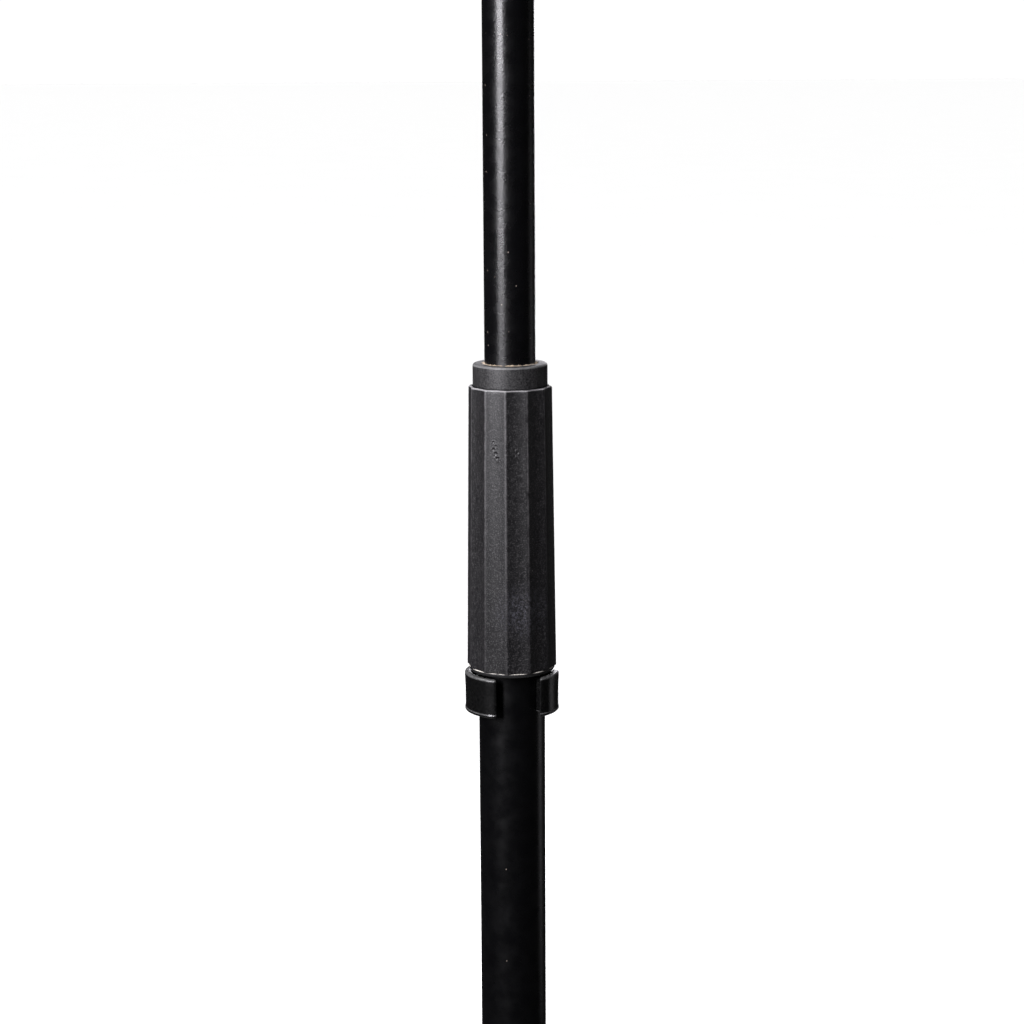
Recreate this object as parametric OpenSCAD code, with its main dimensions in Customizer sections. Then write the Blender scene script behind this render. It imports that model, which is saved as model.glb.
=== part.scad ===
// Folding music stand: tripod base, two-tube column with a twist clutch, and a tilting desk.
// The origin is on the floor under the column. The front, where the player stands, is -Y.

/* [Column] */
// Outside diameter of the lower tube
lower_d = 25; // [24.5:0.5:25.5]
// Outside diameter of the upper tube
upper_d = 19; // [18.5:0.5:19]
// Wall thickness of both tubes
tube_wall = 1.2; // [1:0.1:1.3]
// Height of the top end of the upper tube
upper_top_z = 1056; // [1000:1:1060]
// Height of the bottom end of the upper tube
upper_bottom_z = 430; // [420:5:460]

/* [Clutch] */
// Height of the bottom face of the grip
grip_z = 641; // [600:1:660]
// Length of the grip with its end ring
grip_h = 108; // [106:1:111]
// Diameter over the grip's ridges at its top
grip_top_d = 31.2; // [30.8:0.1:31.2]
// Diameter over the grip's ridges at its bottom
grip_bottom_d = 33.8; // [33.4:0.1:34]
// Number of flutes round the grip
flute_count = 12; // [12]
// Radius of each concave flute
flute_r = 16; // [15:0.5:20]
// Twist of the ridges round the column, in degrees
flute_phase = -6.5; // [-15:0.5:15]
// Diameter of the smooth collar above the grip
cap_d = 27.8; // [27.4:0.1:27.8]
// Height of the smooth collar
cap_h = 8.4; // [8:0.2:9]

/* [Snap clip] */
// Outside diameter of the clip
clip_d = 35.6; // [35:0.1:36]
// Wall thickness of the clip
clip_wall = 2.4; // [2.2:0.1:2.6]
// Height of the clip
clip_h = 14.8; // [14:0.2:15]
// Width of the clip's opening, in degrees
clip_open = 55; // [52:1:60]

/* [Tripod] */
// Angle of the open legs from the vertical, in degrees
leg_spread = 55; // [54:1:56]
// Distance of the leg and brace pivots from the column's axis
pivot_r = 24; // [24:0.5:25]
// Height of the braces' lower pivots
hub_pivot_z = 45; // [44:1:46]
// Length of a brace, and of the leg above it, between pivots
brace_l = 140; // [136:1:144]
// Depth of a leg's tube
leg_depth = 18; // [17:0.5:18]
// Width of a leg's tube
leg_width = 10; // [9.5:0.5:10]
// Height of a leg's nominal end above the floor
leg_end_z = 8; // [8:0.5:9]

/* [Desk] */
// Width of the desk
desk_w = 500; // [480:10:520]
// Height of the desk, along its slope
desk_h = 340; // [320:10:350]
// Distance from the tilt pivot down to the desk's bottom edge
desk_below = 110; // [105:1:120]
// Lean of the desk from the vertical, in degrees
desk_lean = 25; // [20:1:30]
// Thickness of the desk's sheet
sheet_t = 1.2; // [1:0.1:1.5]
// Depth of the ledge that the music stands on
ledge_depth = 44; // [40:1:50]
// Height of the ledge's front lip
ledge_lip = 14; // [12:1:16]

/* [Hidden] */
$fn = 96;

// Clearances: radial for a running fit, and between flat faces that slide past each other.
run_gap = 0.06;
side_gap = 0.3;
cut = 1; // how far a cutting tool passes beyond the face it cuts

lower_r = lower_d / 2;
lower_in_r = lower_r - tube_wall;
upper_r = upper_d / 2;
upper_in_r = upper_r - tube_wall;
lower_bottom_z = 30;

// Clutch, from the lower tube's end up to the collar's top.
lower_top_z = grip_z + 32;
cap_z = grip_z + grip_h;
barrel_z = lower_top_z + 8;
barrel_out_r = 13.4;
barrel_in_r = 12.3;
cam_z = grip_z + 36;
cam_h = 60;
cam_in_r = barrel_out_r + run_gap;
cam_out_r = 14.3;
lug_count = 3;
lug_w = 4;
lug_z = grip_z + 62;
lug_h = 8;
lug_tip_r = 13.9;
wedge_travel = 2;
wedge_z = lug_z - 4;
wedge_h = lug_h + 8;
collet_z = barrel_z;
collet_top_z = grip_z + 80;
collet_cone_z = grip_z + 54;
collet_small_r = 10.6;
collet_big_r = 11.6;
end_ring_h = 1.6;
end_ring_r = 16.2;
ridge_land = 0.8;
cap_gap = 0.4;
cap_under_z = cap_z + cap_gap;
cap_in_r = 10.1;
felt_r = 10.4;

// Snap clip, close under the grip.
clip_gap = 0.7;
clip_z = grip_z - clip_gap - clip_h;
clip_r = clip_d / 2;
clip_in_r = clip_r - clip_wall;
clip_bead = 0.7;
clip_waist = 0.22;
clip_mid_angle = -81.5;
clip_rib_angles = [-50, -160, 75];
clip_relief = 2.2;
clip_relief_start = 8;
clip_relief_span = 112;

// Tripod: the braces and the upper part of each leg make equal sides of a triangle.
leg_angles = [90, 210, 330];
collar_pivot_z = hub_pivot_z + 2 * brace_l * cos(leg_spread);
leg_l = (collar_pivot_z - leg_end_z) / cos(leg_spread);
leg_wall = 1.2;
knuckle_l = 14;
knuckle_r = 6;
pivot_pin_r = 2.5;
strip_t = 2;
strip_r = 6;
hub_r = 17;
foot_r = 12;
ear_r = 7.5;
collar_z = collar_pivot_z - 9;
collar_h = 33;
knob_z = collar_pivot_z + 8;
liner_r = 13.8;
stud_r = 3;

// Upper column and tilt head.
plug_flange_h = 4;
bush_z = upper_bottom_z + 0.3;
bush_h = 30;
head_z = upper_top_z - 30;
head_r = 13.5;
tilt_z = upper_top_z + 34;
tongue_r = 14;
tongue_half = 7;
washer_t = 1;
cheek_in = tongue_half + washer_t + 0.15;
cheek_t = 4;
cheek_out = cheek_in + cheek_t;
bolt_r = 4;

// Desk, in its own frame: the pivot is the origin, +Z runs up the sheet and -Y faces the player.
desk_back_y = -29;
desk_front_y = desk_back_y - sheet_t;
desk_top = desk_h - desk_below;
desk_corner_r = 25;
flange_depth = 8;
bracket_w = 70;
bracket_h = 90;
bracket_t = 3;
screw_x = 25;
screw_z = 35;
hole_pitch = 40;
hole_r = 6;
ledge_w = desk_w - 20;
ledge_z = -desk_below + 6;
ledge_t = 1.5;
ledge_flange_h = 16;
ledge_rivet_pitch = 110;

// ---------- shapes used by several pieces ----------

// A tube or ring between two heights.
module ring(r_out, r_in, z, h) {
    difference() {
        translate([0, 0, z]) cylinder(r = r_out, h = h);
        translate([0, 0, z - cut]) cylinder(r = r_in, h = h + 2 * cut);
    }
}

// A cylinder along X, centred on the origin.
module along_x(r, l, sides = $fn) {
    rotate([0, 90, 0]) cylinder(r = r, h = l, center = true, $fn = sides);
}

// A cylinder along Y, centred on the origin.
module along_y(r, l, sides = $fn) {
    rotate([90, 0, 0]) cylinder(r = r, h = l, center = true, $fn = sides);
}

// A box from one corner to the opposite one.
module box(low, high) {
    translate(low) cube(high - low);
}

// Turns a piece drawn along +X to one of the three legs' directions.
module at_leg(i) {
    rotate([0, 0, leg_angles[i]]) children();
}

// The frame of a leg: the collar pivot is the origin and +X runs down the leg.
module in_leg(i) {
    at_leg(i) translate([pivot_r, 0, collar_pivot_z]) rotate([0, 90 - leg_spread, 0]) children();
}

// The frame of a brace: the hub pivot is the origin and +X runs up the brace.
module in_brace(i) {
    at_leg(i) translate([pivot_r, 0, hub_pivot_z]) rotate([0, leg_spread - 90, 0]) children();
}

// The desk's frame, leaning back about the tilt pivot.
module in_desk() {
    translate([0, 0, tilt_z]) rotate([-desk_lean, 0, 0]) children();
}

// A hand knob with rounded lobes, from z = 0 up.
module lobed_knob(r, h, lobes) {
    scoop_r = r * 0.42;
    difference() {
        rotate_extrude() polygon([
            [0, 0], [r * 0.72, 0], [r, h * 0.3], [r, h - 2], [r - 0.6, h - 0.6], [r - 2, h], [0, h]
        ]);
        for (i = [0:lobes - 1])
            rotate([0, 0, (i + 0.5) * 360 / lobes])
                translate([r + scoop_r * 0.62, 0, -cut]) cylinder(r = scoop_r, h = h + 2 * cut);
    }
}

// A round-cornered rectangle in the XZ plane of the desk, extruded along +Y.
module desk_slab(inset, y, depth) {
    r = desk_corner_r - inset;
    half = desk_w / 2 - inset;
    low = -desk_below + inset;
    high = desk_top - inset;
    translate([0, y + depth, 0]) rotate([90, 0, 0]) linear_extrude(depth) {
        translate([-half + r, low]) square([2 * (half - r), high - low]);
        translate([-half, low + r]) square([2 * half, high - low - 2 * r]);
        for (x = [-half + r, half - r], z = [low + r, high - r])
            translate([x, z]) circle(r = r);
    }
}

// ---------- lower column ----------

module lower_tube() {
    color("#17181a") difference() {
        ring(lower_r, lower_in_r, lower_bottom_z, lower_top_z - lower_bottom_z);
        translate([0, 0, hub_pivot_z + 11]) along_x(2, 2 * lower_d);
    }
}

module tube_plug() {
    color("#202020") {
        translate([0, 0, lower_bottom_z - 3]) cylinder(r = lower_r, h = 3);
        translate([0, 0, lower_bottom_z]) cylinder(r = lower_in_r, h = 12);
    }
}

module base_hub() {
    color("#202124") difference() {
        union() {
            translate([0, 0, lower_bottom_z]) cylinder(r = hub_r, h = 32);
            for (i = [0:2]) at_leg(i) {
                box([lower_r, -leg_width / 2, hub_pivot_z - strip_r],
                    [pivot_r, leg_width / 2, hub_pivot_z + strip_r]);
                translate([pivot_r, 0, hub_pivot_z]) along_y(strip_r, leg_width);
            }
        }
        translate([0, 0, lower_bottom_z - cut]) cylinder(r = lower_r, h = 32 + 2 * cut);
        for (i = [0:2]) at_leg(i)
            translate([pivot_r, 0, hub_pivot_z]) along_y(pivot_pin_r + run_gap, 2 * leg_width);
        translate([0, 0, hub_pivot_z + 11]) along_x(2, 3 * hub_r);
    }
}

module hub_pin() {
    color("silver") translate([0, 0, hub_pivot_z + 11]) along_x(2, 2 * hub_r - 0.6);
}

// ---------- clutch ----------

// Spigot in the tube, shoulder on its end, and a barrel with slots for the wedge's lugs.
module clutch_body() {
    color("#2b2c2e") difference() {
        union() {
            ring(lower_in_r, upper_r + 0.3, grip_z - 4, lower_top_z - grip_z + 4);
            ring(lower_r, upper_r + 0.3, lower_top_z, 4);
            ring(barrel_out_r, upper_r + 0.3, lower_top_z + 4, barrel_z - lower_top_z - 4);
            ring(barrel_out_r, barrel_in_r, barrel_z, cap_under_z - barrel_z);
        }
        for (i = [0:lug_count - 1]) rotate([0, 0, i * 360 / lug_count])
            box([upper_r + 1, -lug_w / 2 - side_gap, lug_z - wedge_travel - side_gap],
                [barrel_out_r + cut, lug_w / 2 + side_gap, lug_z + lug_h + side_gap]);
    }
}

// Split bush with an outer cone, standing on the shoulder inside the barrel.
module collet() {
    bore = upper_r + run_gap;
    color("#d8d5cb") difference() {
        rotate_extrude() polygon([
            [bore, collet_z], [barrel_in_r, collet_z], [barrel_in_r, collet_z + 4],
            [collet_small_r - 0.3, collet_z + 4], [collet_small_r - 0.3, collet_cone_z],
            [collet_small_r, collet_cone_z], [collet_big_r, collet_top_z - 4],
            [collet_big_r - 0.8, collet_top_z], [bore, collet_top_z]
        ]);
        for (i = [0:3]) rotate([0, 0, 45 + i * 90])
            box([upper_r - cut, -0.6, collet_z + 8], [barrel_in_r, 0.6, collet_top_z + cut]);
    }
}

// Ring with an inner cone that matches the collet, and lugs that reach through the barrel.
module wedge_ring() {
    slope = (collet_big_r - collet_small_r) / (collet_top_z - 4 - collet_cone_z);
    bottom_r = collet_small_r + slope * (wedge_z - collet_cone_z) + 0.08;
    color("#c9c4b6") {
        rotate_extrude() polygon([
            [bottom_r, wedge_z], [barrel_in_r - run_gap, wedge_z],
            [barrel_in_r - run_gap, wedge_z + wedge_h],
            [bottom_r + slope * wedge_h, wedge_z + wedge_h]
        ]);
        for (i = [0:lug_count - 1]) rotate([0, 0, i * 360 / lug_count])
            intersection() {
                box([barrel_in_r - 0.4, -lug_w / 2, lug_z], [lug_tip_r + cut, lug_w / 2, lug_z + lug_h]);
                translate([0, 0, lug_z - cut]) cylinder(r = lug_tip_r, h = lug_h + 2 * cut);
            }
    }
}

// Sleeve pressed into the grip, with the groove that the wedge's lugs run in.
module cam_sleeve() {
    color("#3a3b3d") difference() {
        ring(cam_out_r, cam_in_r, cam_z, cam_h);
        ring(lug_tip_r + 0.1, cam_in_r - cut, lug_z - wedge_travel - side_gap,
             lug_h + wedge_travel + 2 * side_gap);
    }
}

// Tapered sleeve with concave flutes between narrow ridges.
module grip_sleeve() {
    z0 = grip_z + end_ring_h;
    h = grip_h - end_ring_h;
    taper = atan((grip_bottom_d - grip_top_d) / 2 / h);
    mid_r = (grip_bottom_d + grip_top_d) / 4;
    half_angle = 180 / flute_count - asin(ridge_land / 2 / mid_r);
    half_chord = mid_r * sin(half_angle);
    axis_r = mid_r * cos(half_angle) + sqrt(flute_r * flute_r - half_chord * half_chord);
    color("#3c3c3e") difference() {
        rotate_extrude() polygon([
            [0, z0], [grip_bottom_d / 2 - 0.5, z0], [grip_bottom_d / 2, z0 + 0.5],
            [grip_top_d / 2, z0 + h - 0.8], [grip_top_d / 2 - 0.7, z0 + h], [0, z0 + h]
        ]);
        translate([0, 0, z0 - cut]) cylinder(r = cam_out_r, h = cam_z + cam_h - z0 + cut);
        translate([0, 0, z0 + cut]) cylinder(r = cam_in_r, h = h);
        for (i = [0:flute_count - 1])
            rotate([0, 0, -90 + flute_phase + (i + 0.5) * 360 / flute_count])
                translate([axis_r, 0, z0 + h / 2]) rotate([0, -taper, 0])
                    cylinder(r = flute_r, h = h + 10, center = true, $fn = 240);
    }
}

// Lip under the flutes, with the grip's lower bearing on the tube.
module grip_end_ring() {
    bore = lower_r + run_gap;
    color("#303133") rotate_extrude() polygon([
        [bore, grip_z + 1], [bore + 1, grip_z], [end_ring_r - 0.9, grip_z],
        [end_ring_r - 0.3, grip_z + 0.3], [end_ring_r, grip_z + 0.9],
        [end_ring_r, grip_z + end_ring_h], [cam_out_r, grip_z + end_ring_h],
        [cam_out_r, cam_z - 4], [bore, cam_z - 4]
    ]);
}

// Smooth cap pressed into the barrel's top, with a seat for the felt.
module collar_ring() {
    top_z = cap_z + cap_h;
    cap_r = cap_d / 2;
    color("#3a3a3c") rotate_extrude() polygon([
        [cap_in_r, cap_z - 8], [barrel_in_r, cap_z - 8], [barrel_in_r, cap_under_z],
        [cap_r - 0.3, cap_under_z], [cap_r, cap_under_z + 0.3], [cap_r, top_z - 1.2],
        [cap_r - 0.35, top_z - 0.35], [cap_r - 1.2, top_z], [felt_r, top_z], [felt_r, top_z - 5],
        [cap_in_r, top_z - 5]
    ]);
}

module felt_wiper() {
    color("#b59a74") ring(felt_r, upper_r + run_gap, cap_z + cap_h - 5, 4.6);
}

// ---------- snap clip ----------

// Beaded C-ring that stands off the tube on three inner ribs. Its rim is lower over the part
// that flexes when the clip is snapped on.
module snap_clip() {
    half = clip_open / 2;
    mid_r = clip_r - clip_wall / 2;
    round_end = clip_wall / 2;
    end_angle = half + asin(round_end / mid_r);
    top_z = clip_z + clip_h;
    color("#101112") difference() {
        union() {
            rotate([0, 0, clip_mid_angle + end_angle]) rotate_extrude(angle = 360 - 2 * end_angle)
                polygon([
                    [clip_in_r, clip_z + 0.5], [clip_in_r + 0.5, clip_z], [clip_r - clip_bead, clip_z],
                    [clip_r - 0.2, clip_z + 0.2], [clip_r, clip_z + clip_bead],
                    [clip_r - 0.1, clip_z + 1.3], [clip_r - clip_waist, clip_z + 1.8],
                    [clip_r - clip_waist, top_z - 1.8], [clip_r - 0.1, top_z - 1.3],
                    [clip_r, top_z - clip_bead], [clip_r - 0.2, top_z - 0.2],
                    [clip_r - clip_bead, top_z], [clip_in_r + 0.5, top_z], [clip_in_r, top_z - 0.5]
                ]);
            for (side = [-1, 1]) rotate([0, 0, clip_mid_angle + side * end_angle])
                translate([mid_r, 0, clip_z]) cylinder(r = round_end - 0.1, h = clip_h);
            for (a = clip_rib_angles) rotate([0, 0, a]) intersection() {
                box([lower_r, -1, clip_z + 1], [clip_in_r + 0.8, 1, top_z - 0.4]);
                ring(clip_r - 1, lower_r + run_gap, clip_z, clip_h);
            }
        }
        rotate([0, 0, clip_relief_start]) rotate_extrude(angle = clip_relief_span)
            translate([lower_r, top_z - clip_relief])
                square([clip_r - lower_r + cut, clip_relief + cut]);
    }
}

// ---------- tripod ----------

// One flat link with round ends, centred on Y = 0.
module strip() {
    difference() {
        union() {
            box([0, -strip_t / 2, -strip_r], [brace_l, strip_t / 2, strip_r]);
            for (x = [0, brace_l]) translate([x, 0, 0]) along_y(strip_r, strip_t);
        }
        for (x = [0, brace_l]) translate([x, 0, 0]) along_y(pivot_pin_r, 2 * strip_t);
    }
}

// A brace is a pair of links, one on each side of the hub's lug and of the leg.
module brace(i) {
    strip_y = leg_width / 2 + side_gap + strip_t / 2;
    color("#1b1c1e") in_brace(i)
        for (side = [-1, 1]) translate([0, side * strip_y, 0]) strip();
}

module brace_rivets(i) {
    outer = leg_width / 2 + side_gap + strip_t;
    color("silver") in_brace(i) for (x = [0, brace_l]) translate([x, 0, 0]) {
        along_y(pivot_pin_r, 2 * outer);
        for (side = [-1, 1]) translate([0, side * (outer + 0.75), 0]) along_y(4, 1.5);
    }
}

module leg(i) {
    end = leg_l - 10;
    color("#17181a") in_leg(i) difference() {
        box([knuckle_l, -leg_width / 2, -leg_depth / 2], [end, leg_width / 2, leg_depth / 2]);
        box([knuckle_l - cut, -leg_width / 2 + leg_wall, -leg_depth / 2 + leg_wall],
            [end + cut, leg_width / 2 - leg_wall, leg_depth / 2 - leg_wall]);
        translate([brace_l, 0, 0]) along_y(pivot_pin_r + run_gap, 2 * leg_width);
    }
}

// Moulded upper end of a leg: a pivot eye and a plug that fills the tube's mouth.
module leg_knuckle(i) {
    color("#26272a") in_leg(i) difference() {
        union() {
            along_y(knuckle_r, leg_width);
            box([0, -leg_width / 2, -knuckle_r], [knuckle_l, leg_width / 2, knuckle_r]);
            box([knuckle_l, -leg_width / 2 + leg_wall, -leg_depth / 2 + leg_wall],
                [knuckle_l + 20, leg_width / 2 - leg_wall, leg_depth / 2 - leg_wall]);
        }
        along_y(pivot_pin_r + run_gap, 2 * leg_width);
    }
}

// Rubber shoe round the leg's lower end, cut flat on the floor.
module leg_foot(i) {
    wall = 2;
    end = leg_l - 10;
    foot_x = pivot_r + leg_l * sin(leg_spread);
    color("#141414") difference() {
        intersection() {
            union() {
                in_leg(i) box([end - 26, -leg_width / 2 - wall, -leg_depth / 2 - wall],
                              [end + 12, leg_width / 2 + wall, leg_depth / 2 + wall]);
                at_leg(i) translate([foot_x, 0, 0]) cylinder(r = foot_r, h = 9);
            }
            cylinder(r = foot_x + 2 * foot_r, h = 100);
        }
        in_leg(i) box([end - 27, -leg_width / 2, -leg_depth / 2], [end, leg_width / 2, leg_depth / 2]);
    }
}

module slider_collar() {
    ear_in = leg_width / 2 + side_gap;
    ear_t = 3;
    boss_r = 8;
    color("#202124") difference() {
        union() {
            translate([0, 0, collar_z]) cylinder(r = hub_r, h = collar_h);
            for (i = [0:2], side = [-1, 1]) at_leg(i)
                translate([0, side * (ear_in + ear_t / 2), collar_pivot_z]) {
                    box([lower_r, -ear_t / 2, -ear_r], [pivot_r, ear_t / 2, ear_r]);
                    translate([pivot_r, 0, 0]) along_y(ear_r, ear_t);
                }
            translate([0, -lower_r - 6, knob_z]) along_y(boss_r, 12);
        }
        translate([0, 0, collar_z - cut]) cylinder(r = liner_r, h = collar_h + 2 * cut);
        for (i = [0:2]) at_leg(i)
            translate([pivot_r, 0, collar_pivot_z]) along_y(pivot_pin_r, 4 * leg_width);
        translate([0, -lower_r - 6, knob_z]) along_y(stud_r + run_gap, 30);
    }
}

module collar_liner() {
    color("#d8d5cb") difference() {
        ring(liner_r, lower_r + run_gap, collar_z, collar_h);
        translate([0, -lower_r, knob_z]) along_y(stud_r + 0.4, 10);
    }
}

module collar_pins() {
    ear_out = leg_width / 2 + side_gap + 3;
    color("silver") for (i = [0:2]) at_leg(i) translate([pivot_r, 0, collar_pivot_z]) {
        along_y(pivot_pin_r, 2 * ear_out);
        for (side = [-1, 1]) translate([0, side * (ear_out + 0.75), 0]) along_y(4, 1.5);
    }
}

module collar_knob() {
    color("#1c1c1e") translate([0, -lower_r - 14.5, knob_z]) rotate([90, 0, 0]) difference() {
        lobed_knob(14, 18, 6);
        translate([0, 0, -cut]) cylinder(r = stud_r, h = 12 + cut);
    }
}

module collar_knob_stud() {
    tip_y = -lower_r - 0.4;
    end_y = -lower_r - 26.5;
    color("silver") translate([0, (tip_y + end_y) / 2, knob_z]) along_y(stud_r, tip_y - end_y);
}

// ---------- upper column ----------

module glide_bush() {
    color("#d8d5cb") ring(lower_in_r - run_gap, upper_r + run_gap, bush_z, bush_h);
}

module upper_tube() {
    color("#17181a") difference() {
        ring(upper_r, upper_in_r, upper_bottom_z, upper_top_z - upper_bottom_z);
        translate([0, 0, head_z + 12]) along_y(2, 2 * upper_d);
    }
}

module upper_tube_plug() {
    color("#26272a") {
        translate([0, 0, upper_bottom_z - plug_flange_h]) cylinder(r = 10.6, h = plug_flange_h);
        translate([0, 0, upper_bottom_z]) cylinder(r = upper_in_r, h = 18);
    }
}

module bush_snap_ring() {
    color("silver") ring(10.6, upper_r, bush_z + bush_h + 0.3, 2);
}

// ---------- tilt head ----------

module tilt_head() {
    color("#202124") difference() {
        union() {
            translate([0, 0, head_z]) cylinder(r = head_r, h = 36);
            intersection() {
                box([-tongue_half, -head_r, upper_top_z + 4], [tongue_half, head_r, tilt_z]);
                translate([0, 0, head_z]) cylinder(r = 2 * head_r, h = 100);
            }
            translate([0, 0, tilt_z]) along_x(tongue_r, 2 * tongue_half);
        }
        translate([0, 0, head_z - cut]) cylinder(r = upper_r, h = upper_top_z - head_z + cut);
        translate([0, 0, head_z + 12]) along_y(2, 3 * head_r);
        translate([0, 0, tilt_z]) along_x(bolt_r + run_gap, 40);
    }
}

module head_rivet() {
    color("silver") translate([0, 0, head_z + 12]) along_y(2, 2 * head_r - 0.4);
}

module friction_washers() {
    color("#3a3026") for (side = [-1, 1])
        translate([side * (tongue_half + washer_t / 2), 0, tilt_z]) difference() {
            along_x(12, washer_t);
            along_x(bolt_r + side_gap, 2 * washer_t);
        }
}

module tilt_knob() {
    color("#1c1c1e") translate([cheek_out + 2.2, 0, tilt_z]) rotate([0, 90, 0]) difference() {
        lobed_knob(19, 22, 7);
        translate([0, 0, -cut]) cylinder(r = bolt_r, h = 15 + cut);
    }
}

module tilt_bolt() {
    low_x = -cheek_out - 8;
    high_x = cheek_out + 17.2;
    color("silver") translate([(low_x + high_x) / 2, 0, tilt_z]) along_x(bolt_r, high_x - low_x);
}

module tilt_washer() {
    color("silver") translate([cheek_out + 1.2, 0, tilt_z]) difference() {
        along_x(9, 1.6);
        along_x(bolt_r, 4);
    }
}

// ---------- desk ----------

// Base plate on the desk's back with two cheeks that straddle the tilt head's tongue.
module desk_bracket() {
    plate_y = desk_back_y + bracket_t;
    color("#1b1c1e") in_desk() difference() {
        union() {
            box([-bracket_w / 2, desk_back_y, -bracket_h / 2], [bracket_w / 2, plate_y, bracket_h / 2]);
            for (side = [-1, 1]) translate([side * (cheek_in + cheek_t / 2), 0, 0]) {
                rotate([90, 0, 90]) linear_extrude(cheek_t, center = true)
                    polygon([[plate_y - cut, -22], [0, -12], [0, 12], [plate_y - cut, 22]]);
                along_x(12, cheek_t);
            }
        }
        along_x(bolt_r + run_gap, 60);
        for (x = [-screw_x, screw_x], z = [-screw_z, screw_z])
            translate([x, desk_back_y, z]) along_y(2.5, 20);
    }
}

module tilt_nut() {
    color("silver") translate([-cheek_out - 3.2, 0, tilt_z]) rotate([-desk_lean, 0, 0]) difference() {
        along_x(7.5, 6.4, 6);
        along_x(bolt_r + run_gap, 20);
    }
}

module bracket_screws() {
    end_y = desk_back_y + bracket_t + 6;
    color("silver") in_desk() for (x = [-screw_x, screw_x], z = [-screw_z, screw_z])
        translate([x, 0, z]) {
            translate([0, (end_y + desk_front_y) / 2, 0]) along_y(2.5, end_y - desk_front_y);
            translate([0, desk_front_y - 1, 0]) along_y(4.5, 2);
        }
}

module bracket_nuts() {
    nut_y = desk_back_y + bracket_t + 2;
    color("silver") in_desk() for (x = [-screw_x, screw_x], z = [-screw_z, screw_z])
        translate([x, nut_y, z]) difference() {
            along_y(4.6, 4, 6);
            along_y(2.5, 10);
        }
}

// Sheet with a turned-back rim, rounded corners and rows of round holes.
module desk_plate() {
    color("#17181a") in_desk() difference() {
        union() {
            desk_slab(0, desk_front_y, sheet_t);
            difference() {
                desk_slab(0, desk_back_y, flange_depth);
                desk_slab(sheet_t, desk_back_y - cut, flange_depth + 2 * cut);
            }
        }
        for (x = [-screw_x, screw_x], z = [-screw_z, screw_z])
            translate([x, desk_back_y, z]) along_y(2.5, 10);
        for (i = [-5:5], j = [-1:5])
            if (abs(i) > 1 || j > 1)
                translate([i * hole_pitch, desk_back_y, j * hole_pitch]) along_y(hole_r, 10);
        for (i = [-2:2])
            translate([i * ledge_rivet_pitch, desk_back_y, ledge_z + 9]) along_y(2.2, 10);
    }
}

// Bent sheet: a flange on the desk's face, the shelf and its front lip.
module desk_ledge() {
    half = ledge_w / 2;
    front_y = desk_front_y - ledge_depth;
    color("#17181a") in_desk() difference() {
        union() {
            box([-half, desk_front_y - ledge_t, ledge_z], [half, desk_front_y, ledge_z + ledge_flange_h]);
            box([-half, front_y, ledge_z], [half, desk_front_y, ledge_z + ledge_t]);
            box([-half, front_y, ledge_z], [half, front_y + ledge_t, ledge_z + ledge_lip]);
        }
        for (i = [-2:2])
            translate([i * ledge_rivet_pitch, desk_front_y, ledge_z + 9]) along_y(2.2, 10);
    }
}

module ledge_rivets() {
    front_y = desk_front_y - ledge_t;
    color("silver") in_desk() for (i = [-2:2])
        translate([i * ledge_rivet_pitch, 0, ledge_z + 9]) {
            translate([0, (front_y + desk_back_y) / 2, 0]) along_y(2.2, desk_back_y - front_y);
            translate([0, front_y - 0.6, 0]) along_y(3.8, 1.2);
            translate([0, desk_back_y + 0.6, 0]) along_y(3.8, 1.2);
        }
}

// ---------- nodes ----------

lower_tube();
tube_plug();
base_hub();
hub_pin();
clutch_body();
collet();
collar_ring();
felt_wiper();
wedge_ring();
cam_sleeve();
grip_sleeve();
grip_end_ring();
snap_clip();
brace(0);  // brace_1
brace(1);  // brace_2
brace(2);  // brace_3
brace_rivets(0);  // brace_rivets_1
brace_rivets(1);  // brace_rivets_2
brace_rivets(2);  // brace_rivets_3
leg(0);  // leg_1
leg(1);  // leg_2
leg(2);  // leg_3
leg_knuckle(0);  // leg_knuckle_1
leg_knuckle(1);  // leg_knuckle_2
leg_knuckle(2);  // leg_knuckle_3
leg_foot(0);  // leg_foot_1
leg_foot(1);  // leg_foot_2
leg_foot(2);  // leg_foot_3
slider_collar();
collar_liner();
collar_pins();
collar_knob();
collar_knob_stud();
glide_bush();
upper_tube();
upper_tube_plug();
bush_snap_ring();
tilt_head();
head_rivet();
friction_washers();
tilt_knob();
tilt_bolt();
tilt_washer();
desk_bracket();
tilt_nut();
bracket_screws();
bracket_nuts();
desk_plate();
desk_ledge();
ledge_rivets();
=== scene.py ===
"""Looks of a folding music stand: finer meshes, materials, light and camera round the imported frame.

Units are metres. The column stands on the origin and the player's side is -Y.
"""
import math
import random

import bmesh
import bpy
from mathutils import Matrix, Vector, noise


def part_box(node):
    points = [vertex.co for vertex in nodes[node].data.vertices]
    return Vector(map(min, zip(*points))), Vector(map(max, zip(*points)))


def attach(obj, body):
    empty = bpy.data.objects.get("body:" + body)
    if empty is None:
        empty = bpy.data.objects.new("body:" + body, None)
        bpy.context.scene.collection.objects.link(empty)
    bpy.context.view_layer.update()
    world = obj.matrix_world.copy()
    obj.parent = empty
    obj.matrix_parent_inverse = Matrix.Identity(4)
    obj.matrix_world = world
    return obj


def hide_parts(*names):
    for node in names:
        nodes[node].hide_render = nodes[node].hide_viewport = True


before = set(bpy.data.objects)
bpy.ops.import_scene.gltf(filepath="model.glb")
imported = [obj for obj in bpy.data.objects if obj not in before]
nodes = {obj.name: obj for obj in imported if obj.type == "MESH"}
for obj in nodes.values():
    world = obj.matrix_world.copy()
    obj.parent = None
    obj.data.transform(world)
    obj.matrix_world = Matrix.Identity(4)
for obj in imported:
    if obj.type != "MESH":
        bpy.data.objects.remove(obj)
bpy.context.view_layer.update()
scene = bpy.context.scene

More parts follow.
